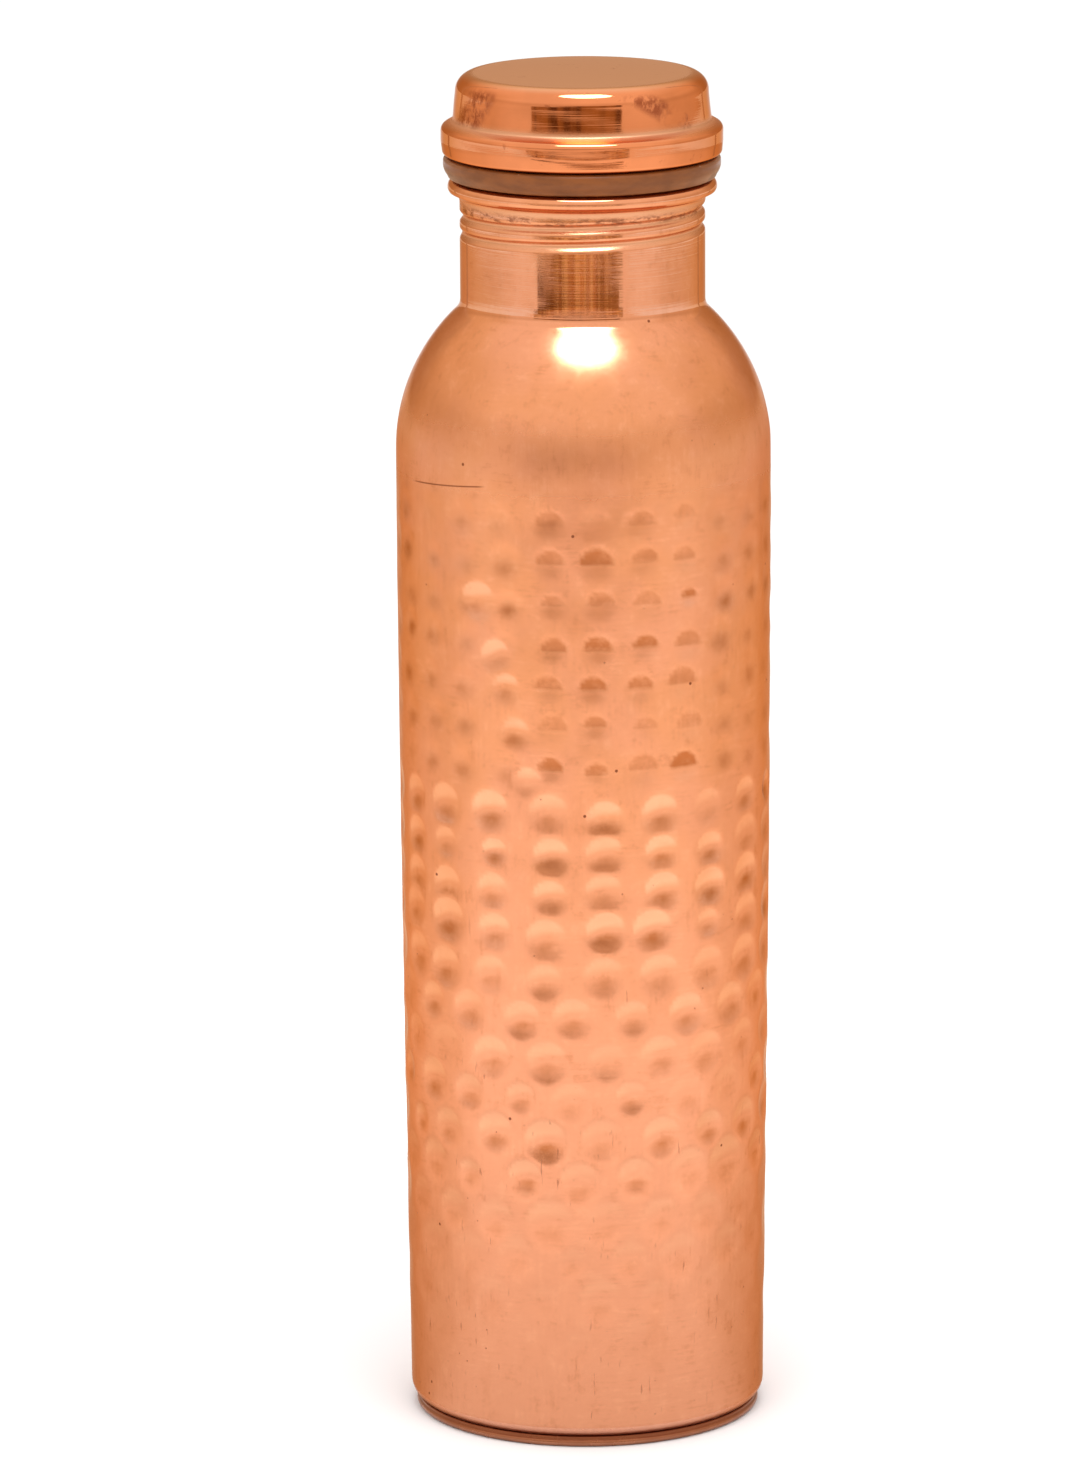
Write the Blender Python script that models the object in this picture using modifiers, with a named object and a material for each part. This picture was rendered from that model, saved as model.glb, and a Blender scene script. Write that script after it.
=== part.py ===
"""Hammered copper water bottle with a screw cap, as an assembly of separate turned and pressed pieces.

The bottle stands on z = 0 with its axis on +Z. The pieces are the body shell with its rolled thread, the
base plate, the gasket, and the cap, which is an outer shell and a threaded plug. Units are metres.
"""

from math import asin, cos, degrees, radians, sin, sqrt

import bmesh
import bpy

# Round pieces
STEPS = 36                      # facets round the axis, so one facet is 10 degrees
GAP = 0.0003                    # clearance between pieces that touch

# Body shell: one copper sheet
SHEET = 0.0007
BARREL_R = 0.0365               # full radius, just under the shoulder
BARREL_TAPER = 0.0017           # how much narrower the barrel is at the foot
BARREL_FULL_Z = 0.2160          # height at which the taper would end
SHOULDER_Z = 0.1917             # height of the shoulder arc's centre
SHOULDER_R = 0.0382             # radius of the shoulder arc
NECK_R = 0.0237
NECK_FILLET = 0.0030            # hollow curve from the shoulder to the neck
LIP_Z = 0.2450                  # top of the mouth
LIP_R = 0.0260                  # outer radius of the rolled lip
LIP_ROLL = 0.0015               # radius of the roll itself
LIP_HEIGHT = 0.0044             # from the top of the mouth to where the lip meets the neck
EDGE_R = 0.0034                 # rounded corner at the bottom of the shell
EDGE_Z = 0.0017                 # underside of the turned-in edge

# Base plate
FOOT_R = 0.0338                 # outer radius of the rim
FOOT_ROUND = 0.0005             # rounding of the rim
FOOT_RING = 0.0304              # inner radius of the flat ring that the bottle rests on
BASE_SHEET = 0.0009
BASE_RECESS = 0.0024            # how far the middle of the base is raised

# Thread: right-hand, rolled into the neck as a groove outside and a rib inside
THREAD_PITCH = 0.0033
THREAD_Z = 0.2345               # height of the groove at 180 degrees
THREAD_START = 150              # degrees round the axis, rising
THREAD_END = 770
THREAD_FADE = 40                # degrees over which the thread runs out
GROOVE_DEPTH = 0.0007
GROOVE_ROUND = 0.0012           # radius of the groove's section
RIB_ROUND = 0.0010              # radius of the rib's section
RIB_HEIGHT = 0.0007
RIB_SLACK = 0.0004              # room round the rib in the plug's groove

# Cap plug
PLUG_SLACK = 0.00035            # radial clearance between the plug and the neck
PLUG_WALL = 0.0015
PLUG_Z = 0.2300                 # underside of the plug
PLUG_CORNER = 0.0022
FLANGE_SHEET = 0.0008
FLANGE_RIM_TOP = 0.2540

# Gasket
GASKET_R = 0.0269
GASKET_FOOT_R = 0.0261

# Cap shell
CAP_SHEET = 0.0007
CAP_Z = 0.24975                 # underside of the skirt
CAP_TOP = 0.2660
CAP_CROWN = 0.0006              # rise of the slightly domed top
CAP_R = 0.0250                  # side wall at its foot
CAP_TOP_R = 0.0245              # side wall at its top
CAP_CORNER = 0.0034
STEP_Z = 0.2563                 # where the side wall meets the bead
BEAD_R = 0.0273
BEAD_Z = 0.25445                # centre of the bead's rounded shoulder
BEAD_ROUND = 0.0012
SKIRT_R = 0.0271                # skirt at its foot
SKIRT_ROUND = 0.0009
CURL_R = 0.0250                 # inner edge of the turned-in skirt

COPPER = (0.80, 0.38, 0.20)
POLISHED_COPPER = (0.78, 0.33, 0.16)
PLAIN_COPPER = (0.72, 0.36, 0.22)
SILICONE = (0.36, 0.22, 0.15)


def clear_scene():
    for old in list(bpy.data.objects):
        bpy.data.objects.remove(old, do_unlink=True)


def new_collection(name):
    collection = bpy.data.collections.new(name)
    bpy.context.scene.collection.children.link(collection)
    return collection


def new_material(name, colour, roughness, metallic):
    material = bpy.data.materials.new(name)
    material.use_nodes = True
    shader = material.node_tree.nodes["Principled BSDF"]
    shader.inputs["Base Color"].default_value = (*colour, 1)
    shader.inputs["Roughness"].default_value = roughness
    shader.inputs["Metallic"].default_value = metallic
    return material


def arc(centre, radius, start, end, pieces):
    """Points of a profile along an arc about (r, z), from one angle to another, in degrees."""
    angles = [radians(start + (end - start) * i / pieces) for i in range(pieces + 1)]
    return [(centre[0] + radius * cos(a), centre[1] + radius * sin(a)) for a in angles]


def turned(name, profile, collection, material, axis=None):
    """A turned piece: a profile of (r, z) that runs down its outer side, and a Screw modifier.

    A profile that doesn't start on the axis is a closed outline. With an axis, an empty on the joint's
    axis, the piece is parented to it and its origin lies there.
    """
    count = len(profile)
    edges = [(i, i + 1) for i in range(count - 1)]
    if profile[0][0] > 0:
        edges.append((count - 1, 0))
    origin_z = axis.location.z if axis else 0
    mesh = bpy.data.meshes.new(name)
    mesh.from_pydata([(r, 0, z - origin_z) for r, z in profile], edges, [])
    mesh.materials.append(material)
    piece = bpy.data.objects.new(name, mesh)
    piece.parent = axis
    collection.objects.link(piece)
    screw = piece.modifiers.new("Turn", "SCREW")
    screw.axis = "Z"
    screw.steps = STEPS
    screw.render_steps = STEPS
    screw.use_merge_vertices = True
    screw.merge_threshold = 0.00001
    screw.use_smooth_shade = True
    return piece


def thread_bar(name, section, end_section, span, fades, collection):
    """A round bar along the thread's helix, as a closed mesh for a Boolean.

    A section is the distance of its centre from the axis and its radius. The bar changes to its end
    section at each end of the span over that end's fade, in degrees.
    """
    facet = 360 // STEPS
    start, end = span
    curve = bpy.data.curves.new(name, "CURVE")
    curve.dimensions = "3D"
    curve.twist_mode = "Z_UP"
    curve.bevel_depth = 1
    curve.bevel_resolution = 2
    curve.use_fill_caps = True
    line = curve.splines.new("POLY")
    line.points.add((end - start) // facet)
    for i, point in enumerate(line.points):
        angle = start + facet * i
        near_start = max(0, 1 - (angle - start) / fades[0]) if fades[0] else 0
        near_end = max(0, 1 - (end - angle) / fades[1]) if fades[1] else 0
        share = max(near_start, near_end)
        centre_r = section[0] + (end_section[0] - section[0]) * share
        z = THREAD_Z + THREAD_PITCH * (angle - 180) / 360
        turn = radians(angle)
        point.co = (centre_r * cos(turn), centre_r * sin(turn), z, 1)
        point.radius = section[1] + (end_section[1] - section[1]) * share
    guide = bpy.data.objects.new(name, curve)
    collection.objects.link(guide)
    evaluated = guide.evaluated_get(bpy.context.evaluated_depsgraph_get())
    mesh = bpy.data.meshes.new_from_object(evaluated)
    welded = bmesh.new()
    welded.from_mesh(mesh)
    bmesh.ops.remove_doubles(welded, verts=welded.verts, dist=0.000001)
    bmesh.ops.recalc_face_normals(welded, faces=welded.faces)
    welded.to_mesh(mesh)
    welded.free()
    bar = bpy.data.objects.new(name, mesh)
    bar.matrix_world = guide.matrix_world
    bar.hide_render = True
    bar.display_type = "WIRE"
    collection.objects.link(bar)
    bpy.data.objects.remove(guide)
    return bar


def combine(piece, operation, bar):
    boolean = piece.modifiers.new(bar.name, "BOOLEAN")
    boolean.operation = operation
    boolean.object = bar
    boolean.solver = "EXACT"


def barrel_radius(z):
    """The barrel swells gently from the foot to its full radius under the shoulder."""
    drop = (BARREL_FULL_Z - z) / BARREL_FULL_Z
    return BARREL_R - BARREL_TAPER * drop * drop


def shell_side(depth):
    """One side of the body sheet, at a depth under its outer surface, from the neck down to the edge."""
    shoulder = (barrel_radius(SHOULDER_Z) - SHOULDER_R, SHOULDER_Z)
    reach = SHOULDER_R + NECK_FILLET
    hollow_r = NECK_R + NECK_FILLET
    rise = sqrt(reach ** 2 - (hollow_r - shoulder[0]) ** 2)
    lean = degrees(asin(rise / reach))
    points = arc((hollow_r, SHOULDER_Z + rise), NECK_FILLET + depth, 180, 180 + lean, 3)
    points += arc(shoulder, SHOULDER_R - depth, lean, 0, 9)[1:]
    corner_z = EDGE_Z + EDGE_R
    for share in (0.75, 0.5, 0.25, 0):
        z = corner_z + (SHOULDER_Z - corner_z) * share
        points.append((barrel_radius(z) - depth, z))
    corner = (barrel_radius(corner_z) - EDGE_R, corner_z)
    points += arc(corner, EDGE_R - depth, 0, -90, 4)[1:]
    return points


def build_body_shell(collection, cutters, material):
    roll = (LIP_R - LIP_ROLL, LIP_Z - LIP_ROLL)
    bore_r = NECK_R - SHEET
    break_edge = 0.0004
    profile = [(bore_r + break_edge, LIP_Z)]
    profile += arc(roll, LIP_ROLL, 90, -60, 6)
    profile.append((NECK_R, LIP_Z - LIP_HEIGHT))
    profile += shell_side(0)
    profile += reversed(shell_side(SHEET))
    profile.append((bore_r, LIP_Z - break_edge))
    shell = turned("body_shell", profile, collection, material)

    span = (THREAD_START, THREAD_END)
    fades = (THREAD_FADE, THREAD_FADE)
    rib = (bore_r - RIB_HEIGHT + RIB_ROUND, RIB_ROUND)
    inside_sheet = (NECK_R - SHEET / 2, SHEET / 2 - 0.0001)
    combine(shell, "UNION", thread_bar("neck_rib", rib, inside_sheet, span, fades, cutters))
    groove = (NECK_R - GROOVE_DEPTH + GROOVE_ROUND, GROOVE_ROUND)
    clear_of_neck = (NECK_R + GROOVE_ROUND + 0.0002, GROOVE_ROUND)
    combine(shell, "DIFFERENCE", thread_bar("neck_groove", groove, clear_of_neck, span, fades, cutters))
    return shell


def build_base_plate(collection, material):
    """A pressed disc: a flat rim under the shell's turned-in edge, and a raised middle inside it."""
    hole_r = barrel_radius(EDGE_Z + EDGE_R) - EDGE_R
    wall_r = hole_r - GAP
    rim_top = EDGE_Z - GAP
    floor = BASE_RECESS + BASE_SHEET
    profile = [(0, floor), (wall_r - 0.0008, floor), (wall_r, floor - 0.0006), (wall_r, rim_top)]
    profile += [(FOOT_R - FOOT_ROUND, rim_top), (FOOT_R, rim_top - FOOT_ROUND)]
    profile += arc((FOOT_R - FOOT_ROUND, FOOT_ROUND), FOOT_ROUND, 0, -90, 2)
    profile += [(FOOT_RING, 0), (FOOT_RING - 0.0005, 0.0003), (FOOT_RING - 0.0012, 0.0020)]
    profile += [(FOOT_RING - 0.0020, BASE_RECESS), (0, BASE_RECESS)]
    return turned("base_plate", profile, collection, material)


def build_gasket(collection, material, axis):
    """The ring squeezed between the cap and the lip, wider at its top than at its foot."""
    bore_r = NECK_R - SHEET
    top = CAP_Z - GAP
    foot = LIP_Z + GAP
    middle = (top + foot) / 2
    profile = [(bore_r, top), (GASKET_R - 0.0006, top), (GASKET_R - 0.0001, top - 0.0006)]
    profile += [(GASKET_R, middle + 0.0004), (GASKET_R - 0.0003, middle - 0.0008)]
    profile += [(GASKET_FOOT_R, foot + 0.0002), (GASKET_FOOT_R - 0.0003, foot), (bore_r, foot)]
    return turned("gasket", profile, collection, material, axis)


def build_cap_plug(collection, cutters, material, axis):
    """The cup that screws into the neck. Its flange steps up over the skirt's turned-in edge."""
    plug_r = NECK_R - SHEET - PLUG_SLACK
    inner_r = plug_r - PLUG_WALL
    corner = (plug_r - PLUG_CORNER, PLUG_Z + PLUG_CORNER)
    flange_z = CAP_Z
    raised_z = CAP_Z + CAP_SHEET + GAP
    step_r = CURL_R - 0.0004
    rim_r = SKIRT_R - CAP_SHEET - GAP
    profile = [(0, PLUG_Z + PLUG_WALL)]
    profile += arc(corner, PLUG_CORNER - PLUG_WALL, -90, 0, 2)
    profile += [(inner_r, flange_z + FLANGE_SHEET), (step_r - FLANGE_SHEET, flange_z + FLANGE_SHEET)]
    profile += [(step_r - FLANGE_SHEET + 0.0003, raised_z + FLANGE_SHEET)]
    profile += [(rim_r - FLANGE_SHEET, raised_z + FLANGE_SHEET), (rim_r - FLANGE_SHEET, FLANGE_RIM_TOP)]
    profile += [(rim_r, FLANGE_RIM_TOP), (rim_r, raised_z + 0.0003), (rim_r - 0.0003, raised_z)]
    profile += [(step_r, raised_z), (step_r - 0.0003, flange_z), (plug_r, flange_z)]
    profile += arc(corner, PLUG_CORNER, 0, -90, 4)
    profile.append((0, PLUG_Z))
    plug = turned("cap_plug", profile, collection, material, axis)

    facet = 360 // STEPS
    below_plug = -480
    above_rib = THREAD_END + 2 * facet
    rib_r = NECK_R - SHEET - RIB_HEIGHT + RIB_ROUND
    groove = (rib_r, RIB_ROUND + RIB_SLACK)
    clear_of_plug = (plug_r + RIB_ROUND + RIB_SLACK + 0.0002, RIB_ROUND + RIB_SLACK)
    span = (below_plug, above_rib + THREAD_FADE)
    bar = thread_bar("plug_groove", groove, clear_of_plug, span, (0, THREAD_FADE), cutters)
    combine(plug, "DIFFERENCE", bar)
    return plug


def cap_crown(top, edge_r):
    """The slightly domed top of the cap, from the axis out to where the corner starts."""
    return [(edge_r * share, top - CAP_CROWN * share * share) for share in (0, 0.4, 0.75)]


def build_cap_shell(collection, material, axis):
    corner_r = CAP_TOP_R - CAP_CORNER
    corner_z = CAP_TOP - CAP_CROWN - CAP_CORNER
    skirt = (SKIRT_R - SKIRT_ROUND, CAP_Z + SKIRT_ROUND)
    bead = (BEAD_R - BEAD_ROUND, BEAD_Z)
    profile = cap_crown(CAP_TOP, corner_r)
    profile += arc((corner_r, corner_z), CAP_CORNER, 90, 0, 5)
    profile += [(CAP_R, STEP_Z + 0.0005), (CAP_R + 0.0004, STEP_Z)]
    profile += arc(bead, BEAD_ROUND, 70, 0, 3)
    profile += [(BEAD_R, BEAD_Z - 0.0020)]
    profile += arc(skirt, SKIRT_ROUND, 0, -90, 3)
    profile += [(CURL_R, CAP_Z), (CURL_R, CAP_Z + CAP_SHEET)]
    profile += arc(skirt, SKIRT_ROUND - CAP_SHEET, -90, 0, 1)
    profile += [(BEAD_R - CAP_SHEET, BEAD_Z - 0.0020)]
    profile += arc(bead, BEAD_ROUND - CAP_SHEET, 0, 70, 1)
    profile += [(CAP_R - CAP_SHEET + 0.0003, STEP_Z - 0.0005), (CAP_R - CAP_SHEET, STEP_Z)]
    profile += arc((corner_r, corner_z), CAP_CORNER - CAP_SHEET, 0, 90, 4)
    profile += reversed(cap_crown(CAP_TOP - CAP_SHEET, corner_r))
    return turned("cap_shell", profile, collection, material, axis)


def main():
    clear_scene()
    bottle = new_collection("copper_water_bottle")
    cutters = new_collection("cutters")

    cap_axis = bpy.data.objects.new("cap_axis", None)
    cap_axis.location = (0, 0, LIP_Z)
    bottle.objects.link(cap_axis)

    build_body_shell(bottle, cutters, new_material("hammered_copper", COPPER, 0.25, 1))
    build_base_plate(bottle, new_material("plain_copper", PLAIN_COPPER, 0.35, 1))
    build_gasket(bottle, new_material("silicone", SILICONE, 0.45, 0), cap_axis)
    build_cap_plug(bottle, cutters, new_material("plug_copper", PLAIN_COPPER, 0.30, 1), cap_axis)
    build_cap_shell(bottle, new_material("cap_copper", POLISHED_COPPER, 0.22, 1), cap_axis)


main()
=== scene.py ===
from collections import namedtuple
from functools import reduce
from math import asin, cos, degrees, dist, pi, radians, sin, sqrt

import bpy
import numpy as np
from bpy.props import FloatProperty, FloatVectorProperty, IntProperty, PointerProperty
from bpy.types import Operator, Panel, PropertyGroup
from mathutils import Matrix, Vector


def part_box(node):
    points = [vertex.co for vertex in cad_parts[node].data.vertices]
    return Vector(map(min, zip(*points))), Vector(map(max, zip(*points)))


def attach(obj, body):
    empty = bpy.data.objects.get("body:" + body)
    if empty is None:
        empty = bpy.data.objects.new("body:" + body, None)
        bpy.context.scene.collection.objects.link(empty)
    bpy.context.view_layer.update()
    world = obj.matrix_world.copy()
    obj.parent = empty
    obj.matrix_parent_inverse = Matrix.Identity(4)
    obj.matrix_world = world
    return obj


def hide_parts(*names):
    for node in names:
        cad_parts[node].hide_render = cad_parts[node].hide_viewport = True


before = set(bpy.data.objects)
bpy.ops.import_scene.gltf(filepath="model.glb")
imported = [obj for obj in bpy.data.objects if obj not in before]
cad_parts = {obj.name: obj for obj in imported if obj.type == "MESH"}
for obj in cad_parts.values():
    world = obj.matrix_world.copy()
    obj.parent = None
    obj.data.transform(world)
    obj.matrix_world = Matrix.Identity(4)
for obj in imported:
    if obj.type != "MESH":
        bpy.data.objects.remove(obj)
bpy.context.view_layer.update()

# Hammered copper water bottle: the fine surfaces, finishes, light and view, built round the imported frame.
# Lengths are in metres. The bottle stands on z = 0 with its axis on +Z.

bl_info = {
    "name": "Hammered Copper Bottle",
    "version": (1, 0, 0),
    "blender": (4, 5, 0),
    "location": "View3D > Sidebar > Bottle",
    "description": "Builds a hammered copper water bottle with a screw cap, its finishes and its studio",
    "category": "Add Mesh",
}

SHELL_LOW, SHELL_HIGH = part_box("body_shell")
BASE_LOW, BASE_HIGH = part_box("base_plate")
GASKET_LOW, GASKET_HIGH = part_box("gasket")
PLUG_LOW, PLUG_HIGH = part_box("cap_plug")
CAP_LOW, CAP_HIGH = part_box("cap_shell")
MM = 0.001
TOUCH = 1e-9                        # points closer than this are the same point

# Where a finish changes, each as where it is 0 and where it is 1, or such a pair for each end of a stretch.
PAINTED_SHEEN_LOW = (155 * MM, 60 * MM)
SCUFFS_FADE = (125 * MM, 70 * MM)
PAINTED_FOOT_SHADE = (4.8 * MM, 2.4 * MM)
NECK_POLISH = (217 * MM, 223 * MM)
WORN_SHOULDER = ((187 * MM, 191 * MM), (204 * MM, 198 * MM))
RESIDUE = ((238.6 * MM, 239.4 * MM), (241.2 * MM, 240.0 * MM))
SEAM = ((0.9 * MM, 1.3 * MM), (6.0 * MM, 5.0 * MM))
CAP_SIDE = ((256.0 * MM, 257.5 * MM), (264.5 * MM, 263.0 * MM))
CAP_CROWN = (264.0 * MM, 264.8 * MM)
CROWN_PAINTED_SHEEN = (23.8 * MM, 21.0 * MM)
CROWN_BRUSHED = (22.5 * MM, 20.5 * MM)
SCRATCH_ENDS = ((-33.5 * MM, -31.0 * MM), (-18.5 * MM, -20.5 * MM))
SCRATCH_HEIGHT = 192.5 * MM
SCRATCH_SLOPE = 0.115
SMUDGE_HEIGHT = 260 * MM
TURNING_LINES = 0.006 * MM          # depth of the lines left by the lathe and the polish


# ---------------------------------------------------------------- sizes and colours

def length(name, description, default):
    return FloatProperty(name=name, description=description, default=default, unit="LENGTH", precision=5)


def turn_angle(name, description, default):
    return FloatProperty(name=name, description=description, default=radians(default), subtype="ANGLE")


def colour(name, description, default):
    return FloatVectorProperty(name=name, description=description, default=default, size=3,
                               subtype="COLOR", min=0, max=1)


def factor(name, description, default):
    return FloatProperty(name=name, description=description, default=default)


class ShellSizes(PropertyGroup):
    barrel_radius: length("Barrel radius", "Full radius under the shoulder", SHELL_HIGH.x)
    taper: length("Taper", "How much narrower the barrel is at the foot", 1.7 * MM)
    taper_top: length("Taper top", "Height at which the taper would end", 216 * MM)
    sheet: length("Sheet", "Thickness of the copper sheet", 0.7 * MM)
    shoulder_height: length("Shoulder height", "Height of the shoulder arc's centre", 191.7 * MM)
    shoulder_radius: length("Shoulder radius", "Radius of the shoulder arc", 38.2 * MM)
    neck_radius: length("Neck radius", "Outer radius of the neck", 23.7 * MM)
    neck_hollow: length("Neck hollow", "Radius of the hollow curve under the neck", 3.0 * MM)
    lip_radius: length("Lip radius", "Outer radius of the rolled lip", 26.0 * MM)
    lip_roll: length("Lip roll", "Radius of the lip's roll", 1.5 * MM)
    lip_height: length("Lip height", "From the mouth down to where the lip meets the neck", 4.4 * MM)
    edge_radius: length("Edge radius", "Rounded corner at the bottom", 3.4 * MM)


class HammerMarks(PropertyGroup):
    radius: length("Mark radius", "Usual radius of one hammer mark", 3.5 * MM)
    depth: length("Mark depth", "Depth of a full blow", 0.40 * MM)
    top: length("Top", "The beating fades out just above this height", 192 * MM)
    unevenness: length("Unevenness", "How far a blow lands from its place", 0.55 * MM)
    seed: IntProperty(name="Seed", description="Seed of the hand's unevenness", default=11)
    waver: length("Waver", "How far the wall is beaten out of true", 0.10 * MM)


class ThreadSizes(PropertyGroup):
    pitch: length("Pitch", "Rise in one turn, right-hand", 3.3 * MM)
    height: length("Height", "Height of the groove at 180 degrees", 234.5 * MM)
    depth: length("Depth", "Depth of the groove in the neck", 0.70 * MM)
    half_width: length("Half width", "Half the groove's width", 1.15 * MM)
    start: turn_angle("Start", "Angle at which the groove starts", 150)
    end: turn_angle("End", "Angle at which the groove ends", 770)
    fade: turn_angle("Fade", "Angle over which the groove runs out", 40)


class CapSizes(PropertyGroup):
    sheet: length("Sheet", "Thickness of the cap's sheet", 0.7 * MM)
    crown: length("Crown", "Rise of the slightly domed top", 0.6 * MM)
    side_radius: length("Side radius", "Side wall at its foot", 25.0 * MM)
    top_radius: length("Top radius", "Side wall at its top", 24.5 * MM)
    corner: length("Corner", "Rounding of the top edge", 3.4 * MM)
    step_height: length("Step height", "Height of the step between side wall and bead", 256.3 * MM)
    bead_radius: length("Bead radius", "Outer radius of the bead", CAP_HIGH.x)
    bead_height: length("Bead height", "Height of the bead's rounded shoulder", 254.45 * MM)
    skirt_radius: length("Skirt radius", "Outer radius at the skirt's foot", 27.1 * MM)
    curl_radius: length("Curl radius", "Inner edge of the turned-in skirt", 25.0 * MM)


class Finishes(PropertyGroup):
    copper: colour("Copper", "Polished hammered copper", (0.83, 0.392, 0.228))
    cap_copper: colour("Cap copper", "Spun copper of the cap", (0.79, 0.310, 0.150))
    plain_copper: colour("Plain copper", "Drawn copper of the base and the plug", (0.74, 0.36, 0.22))
    # Tarnish also carries the painted shade along the shell's foot and the base plate's rim.
    tarnish_and_foot_shade: colour("Tarnish", "Brown oxide in corners and smudges", (0.16, 0.035, 0.012))
    smudge: colour("Smudge", "Red-brown smudges on the cap", (0.27, 0.055, 0.022))
    # Painted reflection: paler copper in grooves and corners, softening the red of the copper mirrored
    # there.
    painted_hollow_reflection: colour("Dull copper", "Copper in hollows the polish missed", (0.76, 0.44, 0.29))
    # Burnished and beaten copper colour the polishing grain, and also the painted highlights and painted
    # shade of the hammer marks.
    burnished_and_painted_highlight: colour("Burnished copper", "Copper rubbed bright by a blow", (0.95, 0.52, 0.35))
    beaten: colour("Beaten copper", "Duller copper at the bottom of a blow", (0.56, 0.225, 0.105))
    stain: colour("Stain", "Orange-brown left in the deepest marks", (0.48, 0.14, 0.035))
    # Cap top: brushed copper, painted paler as a painted reflection of the pale backdrop.
    brushed_top_and_painted_sheen: colour("Cap top", "Paler brushed copper on top of the cap", (0.90, 0.64, 0.47))
    edge: colour("Edge tint", "Tint of copper seen at a glancing angle", (0.72, 0.48, 0.34))
    silicone: colour("Silicone", "Translucent ring", (0.27, 0.078, 0.016))
    bubble: colour("Bubble", "Paler bubbles in the ring", (0.55, 0.42, 0.30))
    roughness: FloatProperty(name="Roughness", description="Roughness of the polish", default=0.06,
                             min=0, max=1, subtype="FACTOR")
    satin: FloatProperty(name="Satin", description="Roughness of the hammered barrel", default=0.19,
                         min=0, max=1, subtype="FACTOR")


class StageSettings(PropertyGroup):
    floor: colour("Floor", "Pale table top", (0.94, 0.94, 0.94))
    room_dark: colour("Room, dark", "The unlit room past the table's edge", (0.17, 0.085, 0.030))
    room_light: colour("Room, light", "Warm wood in the room past the table's edge", (1.00, 0.70, 0.30))
    side: colour("Side", "Dimmer and warmer at both sides", (0.84, 0.78, 0.68))
    behind: colour("Behind", "Low behind the bottle", (0.58, 0.52, 0.44))
    glow: colour("Glow", "Warmth of all the light that the copper mirrors", (1.00, 0.815, 0.650))
    horizon: colour("Horizon", "The dimmer warm band round the horizon", (0.80, 0.76, 0.70))
    below: colour("Below", "Under the horizon, all round", (0.92, 0.89, 0.85))
    gloom_dark: colour("Gloom, dark", "Darker streaks of the cards past the table", (0.15, 0.065, 0.018))
    gloom_light: colour("Gloom, light", "Lighter streaks of those cards", (0.42, 0.22, 0.075))
    gap_dark: colour("Gap, dark", "Darker tone of the narrow gaps at the back", (0.62, 0.47, 0.36))
    gap_light: colour("Gap, light", "Lighter tone of those gaps", (0.72, 0.57, 0.45))
    camera_distance: length("Camera distance", "Level distance from the axis to the camera", 1.70)
    camera_height: length("Camera height", "Height of the camera", 0.515)
    lens: FloatProperty(name="Lens", description="Focal length in millimetres", default=216.7)
    pitch: turn_angle("Pitch", "How far the camera looks down", 12.64)
    yaw: turn_angle("Yaw", "How far the camera turns left of the bottle", 0.291)
    roll: turn_angle("Roll", "Tilt of the camera", -0.31)
    sky: factor("Sky", "Brightness of the soft light all round", 1.10)
    sheen: factor("Sheen", "Brightness of the table in the copper", 0.90)
    lamp: factor("Lamp", "Power of the overhead lamp in watts", 3.6)


GROUPS = {
    "bottle_shell": ShellSizes,
    "bottle_hammer": HammerMarks,
    "bottle_thread": ThreadSizes,
    "bottle_cap": CapSizes,
    "bottle_finish": Finishes,
    "bottle_stage": StageSettings,
}


# ---------------------------------------------------------------- turned surfaces

def arc(centre, radius, start, end, pieces):
    """Points of a profile along an arc about (r, z), from one angle to another, in degrees."""
    angles = [radians(start + (end - start) * i / pieces) for i in range(pieces + 1)]
    return [(centre[0] + radius * cos(a), centre[1] + radius * sin(a)) for a in angles]


def straight(start, end, pieces):
    """Points after the start, up to and with the end."""
    return [(start[0] + (end[0] - start[0]) * i / pieces, start[1] + (end[1] - start[1]) * i / pieces)
            for i in range(1, pieces + 1)]


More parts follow.
